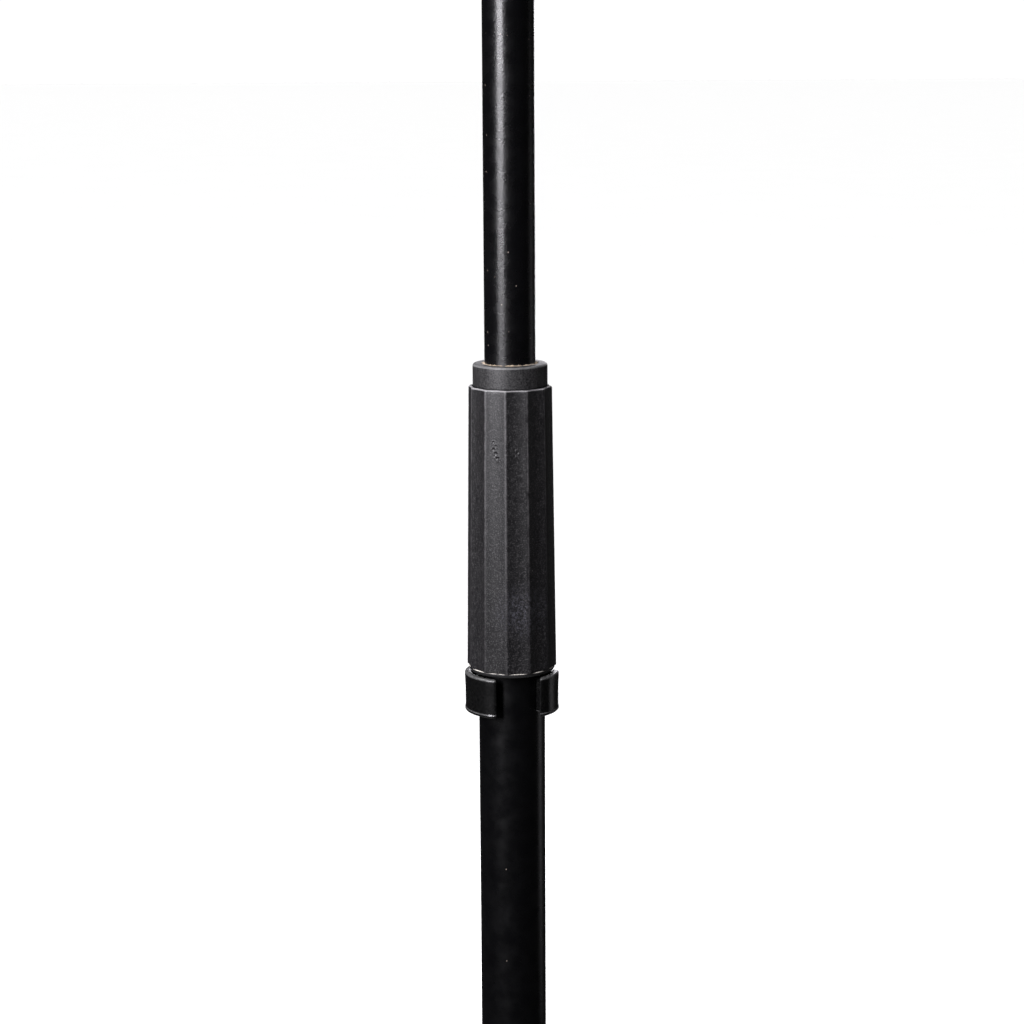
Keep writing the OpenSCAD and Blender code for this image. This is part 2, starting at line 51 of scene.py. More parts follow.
MM = 0.001
LEG_ANGLES = (90, 210, 330)
LEG_SPREAD = 55
PIVOT_R = 24 * MM
LEG_WIDTH = 10 * MM
LEG_DEPTH = 18 * MM
LEG_WALL = 1.2 * MM
PIN_R = 2.5 * MM
RIVET_HEAD_R = 4 * MM
RIVET_HEAD_H = 1.5 * MM
FLUTES = 12
FLUTE_PHASE = -6.5
FLUTE_R = 16 * MM
RIDGE_LAND = 0.8 * MM
GRIP_TOP_R = 15.6 * MM
GRIP_BOTTOM_R = 16.9 * MM
# x, height and radius of each nick in the front of the grip, in mm
GRIP_NICKS = ((-6.3, 729.8, 0.45), (-5.4, 728.3, 0.50), (-6.3, 727.2, 0.55), (-5.4, 725.6, 0.65),
              (-6.0, 724.7, 0.40), (-4.8, 723.9, 0.60), (-5.0, 722.1, 0.40), (1.5, 727.2, 0.50),
              (2.5, 726.0, 0.55), (1.6, 724.9, 0.40))
DESK_LEAN = 25


# ---------- mesh helpers ----------

def fillet(points, radius, steps=4):
    """A closed outline with each corner rounded, by as much as its sides leave room for.

    A point (a, b, r) has a radius of its own, and a point (a, b) takes the given one.
    """
    rounded = []
    count = len(points)
    for i, corner in enumerate(points):
        here = Vector(corner[:2])
        to_last = Vector(points[i - 1][:2]) - here
        to_next = Vector(points[(i + 1) % count][:2]) - here
        wanted = corner[2] if len(corner) > 2 else radius
        reach = min(wanted, 0.45 * to_last.length, 0.45 * to_next.length)
        start = here + to_last.normalized() * reach
        end = here + to_next.normalized() * reach
        for k in range(steps + 1):
            t = k / steps
            rounded.append((1 - t) ** 2 * start + 2 * t * (1 - t) * here + t * t * end)
    return rounded


def round_box(width, height, radius, steps=6):
    """The outline of a rectangle with round corners, centred on zero."""
    points = []
    for quarter in range(4):
        sx = 1 if quarter in (0, 3) else -1
        sy = 1 if quarter in (0, 1) else -1
        for k in range(steps + 1):
            angle = math.radians(90 * (quarter + k / steps))
            points.append(Vector((sx * (width / 2 - radius) + radius * math.cos(angle),
                                  sy * (height / 2 - radius) + radius * math.sin(angle))))
    return points


def grid_faces(bm, rows, close_rows=False, close_columns=True):
    """Quads between rows of vertices, all of one length."""
    count = len(rows[0])
    last = len(rows) if close_rows else len(rows) - 1
    for i in range(last):
        low, high = rows[i], rows[(i + 1) % len(rows)]
        for j in range(count if close_columns else count - 1):
            k = (j + 1) % count
            bm.faces.new((low[j], low[k], high[k], high[j]))


def lathe(bm, outline, steps=128, shape=None):
    """Turns a closed outline of (radius, height) about Z. shape changes a point (radius, angle, height)."""
    rows = []
    for i in range(steps):
        angle = 2 * math.pi * i / steps
        row = []
        for radius, height in outline:
            r, z = shape(radius, angle, height) if shape else (radius, height)
            row.append(bm.verts.new((r * math.cos(angle), r * math.sin(angle), z)))
        rows.append(row)
    grid_faces(bm, rows, close_rows=True)


def turned(bm, outline, steps=64, shape=None):
    """Turns an open outline that starts and ends on the axis about Z, closed by a point at each end."""
    first, last = outline[0], outline[-1]
    rows = []
    for radius, height in outline[1:-1]:
        row = []
        for i in range(steps):
            angle = 2 * math.pi * i / steps
            r, z = shape(radius, angle, height) if shape else (radius, height)
            row.append(bm.verts.new((r * math.cos(angle), r * math.sin(angle), z)))
        rows.append(row)
    grid_faces(bm, rows)
    for row, (_, height) in ((rows[0], first), (rows[-1], last)):
        tip = bm.verts.new((0, 0, height))
        for i in range(steps):
            bm.faces.new((row[i], row[(i + 1) % steps], tip))


def sleeve(bm, outer, inner, stations):
    """A tube with the given outer and inner outlines, carried through a list of matrices."""
    rings = []
    for outline in (outer, inner):
        rings.append([[bm.verts.new(m @ Vector((p.x, p.y, 0))) for p in outline] for m in stations])
        grid_faces(bm, rings[-1])
    for end in (0, -1):
        grid_faces(bm, [rings[0][end], rings[1][end]])


def merge(bm, part, place):
    """Adds a bmesh to another one at a place, and frees it."""
    part.transform(place)
    mesh = bpy.data.meshes.new("part")
    part.to_mesh(mesh)
    part.free()
    bm.from_mesh(mesh)
    bpy.data.meshes.remove(mesh)


def solids(node, place):
    """The low and high corner of each separate solid of a CAD node, in the frame of a place."""
    bm = bmesh.new()
    bm.from_mesh(nodes[node].data)
    bm.transform(place.inverted())
    bmesh.ops.remove_doubles(bm, verts=bm.verts, dist=0.001 * MM)
    left = set(bm.verts)
    boxes = []
    while left:
        front = [left.pop()]
        island = []
        while front:
            vertex = front.pop()
            island.append(vertex.co.copy())
            for edge in vertex.link_edges:
                other = edge.other_vert(vertex)
                if other in left:
                    left.remove(other)
                    front.append(other)
        low = Vector([min(co[axis] for co in island) for axis in range(3)])
        high = Vector([max(co[axis] for co in island) for axis in range(3)])
        boxes.append((low, high))
    bm.free()
    return boxes


def add_piece(name, bm, material, body, replaces=(), place=None, sharp=35):
    """Makes the bmesh a piece that rides on a body and stands for the CAD nodes it replaces."""
    if place is not None:
        bm.transform(place)
    bmesh.ops.recalc_face_normals(bm, faces=bm.faces)
    mesh = bpy.data.meshes.new(name)
    bm.to_mesh(mesh)
    bm.free()
    mesh.shade_smooth()
    mesh.set_sharp_from_angle(angle=math.radians(sharp))
    mesh.materials.append(material)
    piece = bpy.data.objects.new(name, mesh)
    scene.collection.objects.link(piece)
    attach(piece, body)
    if replaces:
        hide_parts(*replaces)
    return piece


def soften(node, material, width, sharp=30, segments=3):
    """Gives a CAD node its material and rounds its edges with modifiers. Its own mesh stays as it is."""
    part = nodes[node]
    part.material_slots[0].material = material
    part.data.attributes.remove(part.data.attributes["custom_normal"])
    part.data.shade_smooth()
    weld = part.modifiers.new("weld", "WELD")
    weld.merge_threshold = 0.001 * MM
    flat = part.modifiers.new("flat_faces", "DECIMATE")
    flat.decimate_type = "DISSOLVE"
    flat.angle_limit = math.radians(0.5)
    bevel = part.modifiers.new("soft_edges", "BEVEL")
    bevel.limit_method = "ANGLE"
    bevel.angle_limit = math.radians(sharp)
    bevel.width = width
    bevel.segments = segments
    bevel.miter_outer = "MITER_ARC"
    part.modifiers.new("even_shade", "WEIGHTED_NORMAL")


def smooth_least(a, b, blend):
    """The lesser of two lengths, with a rounded change from one to the other."""
    h = max(blend - abs(a - b), 0) / blend
    return min(a, b) - h * h * blend / 4


def scoop(radius, angle, count, axis_r, cut_r, blend):
    """The radius left at an angle where count round cutters have scooped a round body."""
    step = 2 * math.pi / count
    off = (angle + step / 2) % step - step / 2
    inside = cut_r ** 2 - (axis_r * math.sin(off)) ** 2
    if inside <= 0:
        return radius
    return smooth_least(radius, axis_r * math.cos(off) - math.sqrt(inside), blend)


# ---------- materials ----------

class Look:
    """A procedural material. Lengths are the size of a feature on the object, in metres."""

    def __init__(self, name, roughness, metallic=0.0, **sockets):
        self.material = bpy.data.materials.new(name)
        self.material.use_nodes = True
        self.tree = self.material.node_tree
        self.surface = self.tree.nodes["Principled BSDF"]
        self.surface.inputs["Roughness"].default_value = roughness
        self.surface.inputs["Metallic"].default_value = metallic
        for socket, value in sockets.items():
            self.surface.inputs[socket.replace("_", " ")].default_value = value
        self.place = self.node("ShaderNodeTexCoord").outputs["Object"]

    def node(self, kind, inputs=(), **settings):
        made = self.tree.nodes.new(kind)
        for key, value in settings.items():
            setattr(made, key, value)
        for key, value in dict(inputs).items():
            if isinstance(value, bpy.types.NodeSocket):
                self.tree.links.new(value, made.inputs[key])
            else:
                made.inputs[key].default_value = value
        return made

    def set(self, socket, value):
        self.tree.links.new(value, self.surface.inputs[socket])

    def math(self, operation, a, b=0.0):
        return self.node("ShaderNodeMath", {0: a, 1: b}, operation=operation).outputs[0]

    def stretched(self, scale):
        return self.node("ShaderNodeMapping", {"Vector": self.place, "Scale": scale}).outputs[0]

    def noise(self, size, detail=2.0, roughness=0.5, stretch=None, warp=0.0):
        where = self.stretched(stretch) if stretch else self.place
        made = self.node("ShaderNodeTexNoise", {
            "Vector": where, "Scale": 1 / size, "Detail": detail,
            "Roughness": roughness, "Distortion": warp})
        return made.outputs["Fac"]

    def range(self, value, low, high, to_low=0.0, to_high=1.0):
        made = self.node("ShaderNodeMapRange", {
            "Value": value, "From Min": low, "From Max": high, "To Min": to_low, "To Max": to_high})
        return made.outputs["Result"]

    def specks(self, size, share, spread):
        """Round specks of about the given size in a share of the cells of a grid of the given spread."""
        cells = self.node("ShaderNodeTexVoronoi", {"Vector": self.place, "Scale": 1 / spread})
        chosen = self.node("ShaderNodeSeparateColor", {"Color": cells.outputs["Color"]}).outputs[0]
        near = self.range(cells.outputs["Distance"], size / spread, 0.5 * size / spread)
        return self.math("MULTIPLY", near, self.math("GREATER_THAN", chosen, 1 - share))

    def near(self, point, radius):
        """A mask that is one at a point on the object and fades to zero at a radius."""
        away = self.node("ShaderNodeVectorMath", {0: self.place, 1: point}, operation="DISTANCE")
        return self.range(away.outputs["Value"], radius, 0.3 * radius)

    def edges(self, radius):
        """A mask of the convex and concave edges, for wear."""
        rounded = self.node("ShaderNodeBevel", {"Radius": radius}, samples=4).outputs[0]
        true = self.node("ShaderNodeNewGeometry").outputs["Normal"]
        same = self.node("ShaderNodeVectorMath", {0: rounded, 1: true}, operation="DOT_PRODUCT")
        return self.range(same.outputs["Value"], 0.995, 0.90)

    def band(self, low, high, fade):
        """A mask of the heights from low to high, faded outwards over a length."""
        height = self.node("ShaderNodeSeparateXYZ", {0: self.place}).outputs[2]
        above = self.range(height, low - fade, low)
        below = self.range(height, high + fade, high)
        return self.math("MULTIPLY", above, below)

    def ridges(self, count, first, radius, half_width):
        """A mask of upright ridges at even angles round Z, from the angle of the first."""
        x, y, _ = self.node("ShaderNodeSeparateXYZ", {0: self.place}).outputs
        steps = self.math("MULTIPLY", self.math("ARCTAN2", y, x), count / (2 * math.pi))
        steps = self.math("ADD", steps, count + 0.5 - first * count / (2 * math.pi))
        away = self.math("ABSOLUTE", self.math("SUBTRACT", self.math("FRACT", steps), 0.5))
        arc = 2 * math.pi * radius / count
        return self.range(away, half_width / arc, 0.3 * half_width / arc)

    def mix(self, mask, a, b):
        made = self.node("ShaderNodeMix", {0: mask}, data_type="RGBA")
        for socket, value in ((made.inputs[6], a), (made.inputs[7], b)):
            if isinstance(value, bpy.types.NodeSocket):
                self.tree.links.new(value, socket)
            else:
                socket.default_value = (*value, 1)
        return made.outputs[2]

    def bump(self, height, depth, under=None):
        inputs = {"Height": height, "Distance": depth, "Strength": 1.0}
        if under is not None:
            inputs["Normal"] = under
        return self.node("ShaderNodeBump", inputs).outputs[0]


def powder_coat(name, dark, light, grain, depth, gloss, dust):
    """Satin black paint with a fine grain, a few specks of dust and thin wear on the edges.

    gloss is the roughness of the paint, and dust is the share of a grid's cells that hold a speck.
    """
    look = Look(name, gloss)
    fine = look.noise(grain, 3, 0.6, (1, 1, 1.8))
    cloud = look.noise(25 * MM, 3)
    base = look.mix(fine, dark, light)
    base = look.mix(look.range(cloud, 0.4, 0.7, 0, 0.5), base, light)
    base = look.mix(look.specks(0.30 * MM, dust, 2.6 * MM), base, (0.24, 0.20, 0.17))
    worn = look.math("MULTIPLY", look.edges(0.4 * MM), look.range(look.noise(2 * MM, 4), 0.55, 0.7))
    base = look.mix(look.range(worn, 0, 1, 0, 0.5), base, (0.12, 0.12, 0.12))
    look.set("Base Color", base)
    look.set("Roughness", look.range(look.noise(6 * MM, 4), 0.3, 0.7, gloss - 0.05, gloss + 0.07))
    look.set("Normal", look.bump(fine, depth))
    return look.material


def soft_touch():
    """Matt dark grey rubber-like skin of the twist grip, mottled and scuffed, with ridges painted pale,
    partly as wear and partly as a painted highlight, and a painted highlight along the top edge.

    The ridges' pale paint fades towards the lip as painted shade where the light falls off,
    and the upper part shines more than the part near the lip.
    """
    look = Look("soft_touch_grip", 0.43)
    fine = look.noise(0.5 * MM, 4, 0.8)
    mottle = look.noise(2.6 * MM, 4, 0.6)
    handled = look.noise(14 * MM, 3)
    base = look.mix(look.range(fine, 0.35, 0.65), (0.001, 0.001, 0.0014), (0.015, 0.0145, 0.0155))
    base = look.mix(look.range(mottle, 0.40, 0.75, 0, 0.35), base, (0.022, 0.021, 0.022))
    base = look.mix(look.range(handled, 0.4, 0.7, 0, 0.4), base, (0.005, 0.005, 0.006))
    pepper = look.noise(0.5 * MM, 3, 0.7)
    base = look.mix(look.range(pepper, 0.52, 0.72), base, (0.075, 0.073, 0.075))
    ridge = look.ridges(FLUTES, math.radians(-90 + FLUTE_PHASE), GRIP_TOP_R, 0.5 * MM)
    height = look.node("ShaderNodeSeparateXYZ", {0: look.place}).outputs[2]
    # painted highlight and wear on the ridges: paler at the top, fading towards the lip as painted shade
    highlight_and_rub = look.math("MULTIPLY", ridge, look.range(height, lip_top + 20 * MM, grip_top - 25 * MM, 0.25, 1))
    highlight_and_rub = look.math("MULTIPLY", highlight_and_rub, look.range(mottle, 0.25, 0.60))
    base = look.mix(look.range(highlight_and_rub, 0, 1, 0, 0.45), base, (0.16, 0.155, 0.16))
    # painted highlight: a pale band round the grip's rounded top edge
    rim = look.band(grip_top - 0.45 * MM, grip_top - 0.15 * MM, 0.15 * MM)
    rim = look.math("MULTIPLY", rim, look.range(fine, 0.2, 0.45, 0.5, 1))
    base = look.mix(rim, base, (0.24, 0.235, 0.24))
    scuff_place = (4 * MM, -15.5 * MM, lip_top + 24 * MM)
    scuffed = look.math("MULTIPLY", look.near(scuff_place, 12 * MM),
                        look.range(look.noise(0.9 * MM, 4, 0.8), 0.50, 0.62))
    base = look.mix(look.range(scuffed, 0, 1, 0, 0.6), base, (0.10, 0.10, 0.12))
    base = look.mix(look.specks(0.22 * MM, 0.05, 4 * MM), base, (0.30, 0.29, 0.28))
    look.set("Base Color", base)
    look.set("Roughness", look.range(mottle, 0.3, 0.7, 0.38, 0.50))
    look.set("Specular IOR Level", look.range(height, lip_top + 10 * MM, grip_top, 0.28, 0.58))
    coarse = look.bump(mottle, 0.06 * MM)
    look.set("Normal", look.bump(fine, 0.09 * MM, coarse))
    return look.material


def moulded(name, dark, light, roughness, grain, depth, wear=0.4, dust=None, highlight_and_rub=()):
    """Moulded plastic with a fine spark texture, slight clouding and paler edges.

    dust is the height band, from clean to dusty, in which pale dust lies in the corner.
    The last argument lists height bands, each as (low, high, grey), painted pale as painted highlights along
    lit edges.
    """
    look = Look(name, roughness)
    fine = look.noise(grain, 3, 0.65)
    cloud = look.noise(18 * MM, 3)
    base = look.mix(look.range(fine, 0.35, 0.65), dark, light)
    base = look.mix(look.range(cloud, 0.35, 0.7, 0, 0.4), base, dark)
    if dust is not None:
        height = look.node("ShaderNodeSeparateXYZ", {0: look.place}).outputs[2]
        patchy = look.range(look.noise(1.8 * MM, 3, 0.7), 0.36, 0.56)
        lying = look.math("MULTIPLY", look.range(height, dust[0], dust[1]), patchy)
        base = look.mix(lying, base, (0.70, 0.67, 0.61))
    # painted highlights: pale bands along edges that catch the light
    for low, high, grey in highlight_and_rub:
        thin = look.range(look.noise(0.9 * MM, 3, 0.6), 0.30, 0.55, 0.35, 1)
        band = look.math("MULTIPLY", look.band(low, high, 0.2 * MM), thin)
        base = look.mix(band, base, (grey, grey, grey))
    pale = tuple(min(1, 2.2 * c + 0.05) for c in light)
    worn = look.math("MULTIPLY", look.edges(0.3 * MM), look.range(look.noise(1.5 * MM, 3), 0.4, 0.65))
    look.set("Base Color", look.mix(look.range(worn, 0, 1, 0, wear), base, pale))
    look.set("Roughness", look.range(cloud, 0.3, 0.7, roughness - 0.06, roughness + 0.06))
    look.set("Normal", look.bump(fine, depth))
    return look.material


def felt_wool():
    """Pressed tan wool: fine crossing fibres, soft sheen and darker dirt."""
    look = Look("wool_felt", 0.95, Sheen_Weight=0.5, Sheen_Roughness=0.5)
    fibres = look.noise(0.18 * MM, 4, 0.7, (1, 1, 3), 2.0)
    patches = look.noise(1.6 * MM, 3)
    base = look.mix(look.range(fibres, 0.3, 0.7), (0.30, 0.21, 0.13), (0.74, 0.60, 0.42))
    look.set("Base Color", look.mix(look.range(patches, 0.45, 0.7, 0, 0.6), base, (0.11, 0.075, 0.05)))
    look.set("Normal", look.bump(fibres, 0.12 * MM))
    return look.material


def rubber_skin():
    """Matt black rubber with a dusty bloom."""
    look = Look("foot_rubber", 0.75)
    fine = look.noise(0.6 * MM, 3, 0.6)
    bloom = look.noise(9 * MM, 4)
    base = look.mix(fine, (0.010, 0.010, 0.010), (0.024, 0.024, 0.024))
    look.set("Base Color", look.mix(look.range(bloom, 0.5, 0.75, 0, 0.5), base, (0.060, 0.058, 0.054)))
    look.set("Roughness", look.range(bloom, 0.3, 0.7, 0.68, 0.86))
    look.set("Normal", look.bump(fine, 0.05 * MM))
    return look.material


def zinc():
    """Zinc-plated steel with a drawn grain, blotches and a blue-yellow cast."""
    look = Look("zinc_plate", 0.32, metallic=1.0)
    drawn = look.noise(0.25 * MM, 3, 0.6, (1, 1, 6))
    blotch = look.noise(3 * MM, 3)
    base = look.mix(drawn, (0.50, 0.50, 0.50), (0.66, 0.66, 0.65))
    look.set("Base Color", look.mix(look.range(blotch, 0.4, 0.7, 0, 0.6), base, (0.60, 0.57, 0.48)))
    look.set("Roughness", look.range(blotch, 0.3, 0.7, 0.24, 0.42))
    look.set("Normal", look.bump(drawn, 0.01 * MM))
    return look.material


def pressed_fibre():
    """Brown pressed fibre of the friction discs."""
    look = Look("pressed_fibre", 0.85)
    flakes = look.noise(0.5 * MM, 4, 0.7, None, 1.0)
    look.set("Base Color", look.mix(flakes, (0.07, 0.038, 0.02), (0.20, 0.12, 0.065)))
    look.set("Roughness", look.range(flakes, 0.3, 0.7, 0.78, 0.92))
    look.set("Normal", look.bump(flakes, 0.05 * MM))
    return look.material


lip_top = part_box("grip_sleeve")[0].z
grip_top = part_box("grip_sleeve")[1].z
cap_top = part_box("collar_ring")[1].z
clip_low, clip_top = (corner.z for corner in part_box("snap_clip"))
upper_paint = powder_coat("upper_tube_paint", (0.0008, 0.0008, 0.001), (0.003, 0.003, 0.0036),
                          grain=0.75 * MM, depth=0.095 * MM, gloss=0.26, dust=0.20)
lower_paint = powder_coat("lower_tube_paint", (0.0006, 0.0006, 0.0008), (0.002, 0.002, 0.0024),
                          grain=0.6 * MM, depth=0.025 * MM, gloss=0.27, dust=0.01)
sheet_paint = powder_coat("sheet_paint", (0.008, 0.008, 0.009), (0.020, 0.020, 0.022),
                          grain=1.0 * MM, depth=0.08 * MM, gloss=0.42, dust=0.03)
grip_skin = soft_touch()
# the cap's pale band is a painted highlight on its rounded top edge
cap_skin = moulded("cap_plastic", (0.002, 0.002, 0.0025), (0.062, 0.061, 0.062),
                   roughness=0.46, grain=0.55 * MM, depth=0.13 * MM,
                   highlight_and_rub=[(cap_top - 0.75 * MM, cap_top - 0.30 * MM, 0.14)])
lip_skin = moulded("lip_plastic", (0.006, 0.006, 0.007), (0.022, 0.022, 0.022),
                   roughness=0.50, grain=0.7 * MM, depth=0.05 * MM, wear=0.2,
                   dust=(lip_top - 0.26 * MM, lip_top - 0.10 * MM))
# the clip's two pale bands are painted highlights, on the step above the bottom bead and on the top edge
clip_skin = moulded("clip_plastic", (0.0003, 0.0003, 0.0004), (0.007, 0.007, 0.007),
                    roughness=0.28, grain=0.7 * MM, depth=0.05 * MM, wear=0.10,
                    highlight_and_rub=[(clip_low + 0.95 * MM, clip_low + 1.2 * MM, 0.07),
                            (clip_top - 0.6 * MM, clip_top, 0.08)])
nylon = moulded("black_nylon", (0.008, 0.008, 0.009), (0.024, 0.024, 0.026),
                roughness=0.46, grain=0.8 * MM, depth=0.05 * MM, wear=0.25)
acetal = moulded("acetal", (0.58, 0.56, 0.49), (0.68, 0.66, 0.60),
                 roughness=0.40, grain=0.6 * MM, depth=0.01 * MM, wear=0.1)
felt = felt_wool()
rubber = rubber_skin()
fibre = pressed_fibre()
steel = zinc()


# ---------- clutch, as the photographed part of the column ----------

def make_grip():
    """Fluted sleeve: a tapered body scooped by round flutes, with soft ridges and a rounded top edge."""
    low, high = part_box("grip_sleeve")
    cam_low, cam_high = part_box("cam_sleeve")
    bore = (cam_high.x - cam_low.x) / 2
    middle_z = (low.z + high.z) / 2
    middle_r = (GRIP_TOP_R + GRIP_BOTTOM_R) / 2
    slope = (GRIP_BOTTOM_R - GRIP_TOP_R) / (high.z - low.z)
    half_angle = math.pi / FLUTES - math.asin(RIDGE_LAND / 2 / middle_r)
    half_chord = middle_r * math.sin(half_angle)
    axis_r = middle_r * math.cos(half_angle) + math.sqrt(FLUTE_R ** 2 - half_chord ** 2)
    phase = math.radians(-90 + FLUTE_PHASE + 180 / FLUTES)
    top_edge, low_edge = 0.8 * MM, 0.3 * MM
    low_face, high_face = (14.9 * MM, 15.2 * MM), (14.0 * MM, 13.6 * MM)  # rings inside the flutes' roots
    edge_steps = 6

    def nicked(angle, z, radius):
        """How far a nick lowers or raises the skin at a point."""
        if math.sin(angle) > 0:
            return 0.0
        lift = 0.0
        for x, height, size in GRIP_NICKS:
            away = math.hypot(radius * math.cos(angle) - x * MM, z - height * MM) / (size * MM)
            if away < 3:
                lift += size * MM * (0.16 * math.exp(-5 * (away - 1.2) ** 2) - 0.34 * math.exp(-away ** 2))
        return lift

    def fluted(radius, angle, z):
        if radius <= bore:
            return radius, z
        grow = slope * (middle_z - z)
        full = scoop(middle_r + grow, angle - phase, FLUTES, axis_r + grow, FLUTE_R, 0.30 * MM)
        for edge, away in ((top_edge, high.z - z), (low_edge, z - low.z)):
            down = max(0.0, edge - away)
            full -= edge - math.sqrt(edge ** 2 - down ** 2)
        return min(radius, full + nicked(angle, z, full)), z

    nick_low = min(height - 3 * size for _, height, size in GRIP_NICKS) * MM
    nick_high = max(height + 3 * size for _, height, size in GRIP_NICKS) * MM
    nick_step, plain_step = 0.25 * MM, 2 * MM
    wide = 1.0  # wider than the grip anywhere, so that fluted() sets the radius
    outline = [(r, low.z) for r in (bore, *low_face)]
    for k in range(edge_steps + 1):
        outline.append((wide, low.z + low_edge * (1 - math.cos(math.pi / 2 * k / edge_steps))))
    z = low.z + low_edge
    while z < high.z - top_edge - plain_step:
        z += nick_step if nick_low < z < nick_high else plain_step
        outline.append((wide, z))
    for k in range(edge_steps + 1):
        outline.append((wide, high.z - top_edge * (1 - math.sin(math.pi / 2 * k / edge_steps))))
    outline += [(r, high.z) for r in (*high_face, bore)]
    bm = bmesh.new()
    lathe(bm, outline, 480, fluted)
    return add_piece("grip_skin", bm, grip_skin, "grip", ["grip_sleeve"])


def make_lip():
    """Ring under the flutes, with a rounded rim and dust lying in the corner."""
    low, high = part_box("grip_end_ring")
    rim = high.x
    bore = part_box("lower_tube")[1].x + 0.06 * MM
    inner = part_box("cam_sleeve")[1].x
    outline = [(bore, low.z + 1 * MM, 0.2 * MM), (bore + 1 * MM, low.z, 0.2 * MM),
               (rim - 0.5 * MM, low.z, 0.3 * MM), (rim, low.z + 0.8 * MM, 0.3 * MM),
               (rim, lip_top, 0.3 * MM), (inner, lip_top, 0.1 * MM), (inner, high.z, 0.3 * MM),
               (bore, high.z, 0.3 * MM)]
    bm = bmesh.new()
    lathe(bm, fillet(outline, 0), 192)
    return add_piece("grip_lip", bm, lip_skin, "grip", ["grip_end_ring"])


def make_cap():
    """Smooth collar above the grip, with a rounded top edge and a seat for the felt."""
    low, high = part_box("collar_ring")
    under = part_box("grip_sleeve")[1].z + 0.2 * MM
    felt_low, felt_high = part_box("felt_wiper")
    rim, seat = high.x, felt_high.x
    bore = seat - 0.3 * MM
    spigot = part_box("glide_bush")[1].x + 1.0 * MM
    outline = [(bore, low.z, 0.2 * MM), (spigot, low.z, 0.3 * MM), (spigot, under, 0.1 * MM),
               (rim, under, 0.15 * MM), (rim, high.z, 1.2 * MM), (seat, high.z, 0.25 * MM),
               (seat, felt_low.z, 0.1 * MM), (bore, felt_low.z, 0.1 * MM)]
    bm = bmesh.new()
    lathe(bm, fillet(outline, 0, 8), 192)
    return add_piece("collar_cap", bm, cap_skin, "stand", ["collar_ring"])


def make_felt():
    """Felt ring with an uneven top that stands a little proud between the cap and the tube."""
    low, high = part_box("felt_wiper")
    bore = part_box("upper_tube")[1].x + 0.05 * MM
    seat = high.x - 0.1 * MM
    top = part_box("collar_ring")[1].z + 0.15 * MM
    outline = fillet([(bore, low.z), (seat, low.z), (seat, top - 0.3 * MM), (bore, top)], 0.3 * MM, 5)

    def uneven(radius, angle, z):
        lift = noise.noise(Vector((math.cos(angle), math.sin(angle), radius / MM * 0.3)) * 6)
        fuzz = noise.noise(Vector((math.cos(angle) * 30, math.sin(angle) * 30, radius / MM)))
        raised = max(0.0, (z - low.z) / (top - low.z) - 0.5) * 2
        return radius, z + raised * (0.45 * lift + 0.20 * fuzz) * MM

    bm = bmesh.new()
    lathe(bm, outline, 480, uneven)
    return add_piece("felt_ring", bm, felt, "stand", ["felt_wiper"])


def make_felt_fibres():
    """Loose fibres that stick up from the felt, as thin tapered strands."""
    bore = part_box("upper_tube")[1].x
    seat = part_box("felt_wiper")[1].x
    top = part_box("collar_ring")[1].z
    rng = random.Random(7)
    bm = bmesh.new()
    for _ in range(260):
        angle = rng.uniform(0, 2 * math.pi)
        start = Vector((rng.uniform(bore + 0.3 * MM, seat - 0.1 * MM), 0, top - 0.15 * MM))
        lean = Vector((rng.uniform(-0.15, 0.6), rng.uniform(-1, 1), rng.uniform(0.25, 0.8))).normalized()
        length = rng.uniform(0.4, 0.95) * MM
        rows = []
        for k in range(4):
            t = k / 3
            centre = start + lean * length * t - Vector((0, 0, 0.25 * length * t * t))
            width = 0.035 * MM * (1 - 0.7 * t)
            ring = [centre + Vector((width * math.cos(a), width * math.sin(a), 0))
                    for a in (0, 2 * math.pi / 3, 4 * math.pi / 3)]
            rows.append([bm.verts.new(Matrix.Rotation(angle, 4, "Z") @ p) for p in ring])
        grid_faces(bm, rows)
        bm.faces.new(rows[0])
        bm.faces.new(rows[-1])
    return add_piece("felt_fibres", bm, felt, "stand")


